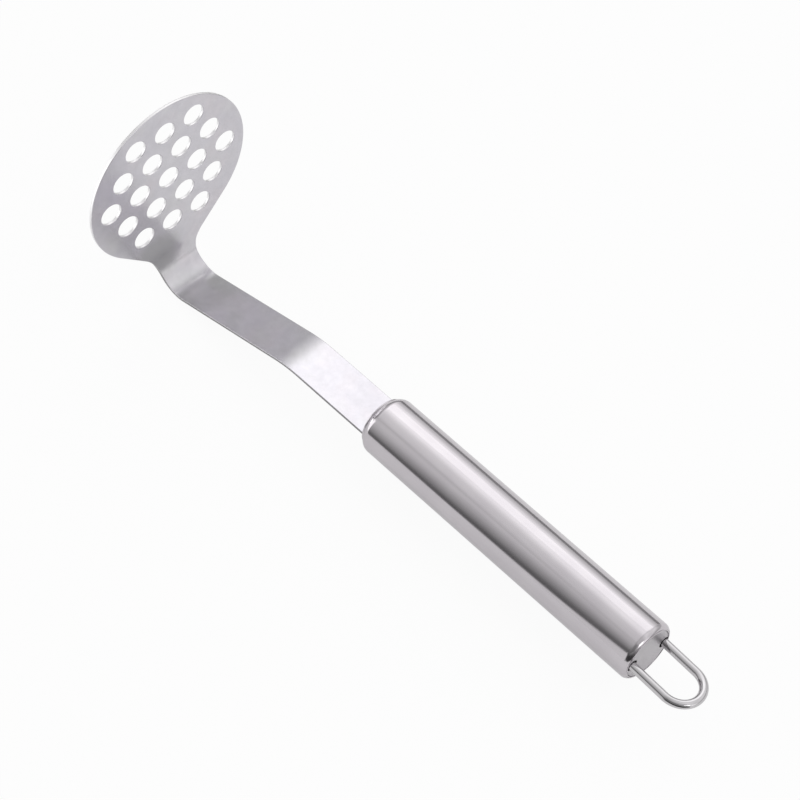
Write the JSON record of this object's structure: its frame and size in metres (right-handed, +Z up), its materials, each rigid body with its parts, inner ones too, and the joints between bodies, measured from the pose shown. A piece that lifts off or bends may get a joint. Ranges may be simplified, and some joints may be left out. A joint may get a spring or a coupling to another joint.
{
  "type": "potato masher",
  "caption": "Hand masher: a round perforated steel head on a bent strap, with a hollow round handle and a wire hanging loop.",
  "frame": {"origin": "under the middle of the tool's bounding box, on the plane through the lowest line of the neck bend", "axes": "+X along the handle towards the hanging loop, +Y across the strap, +Z up with the head standing upright"},
  "size_m": [0.2836, 0.075, 0.0918],
  "materials": {
    "satin_steel": "satin",
    "polished_steel": "polished",
    "plain_steel": "matt",
    "polished_wire": "polished"
  },
  "bodies": {
    "root": {"masher_blade": "satin_steel", "front_cap": "polished_steel", "handle_tube": "polished_steel", "end_cap": "plain_steel", "hanging_loop": "polished_wire"}
  },
  "joints": []
}
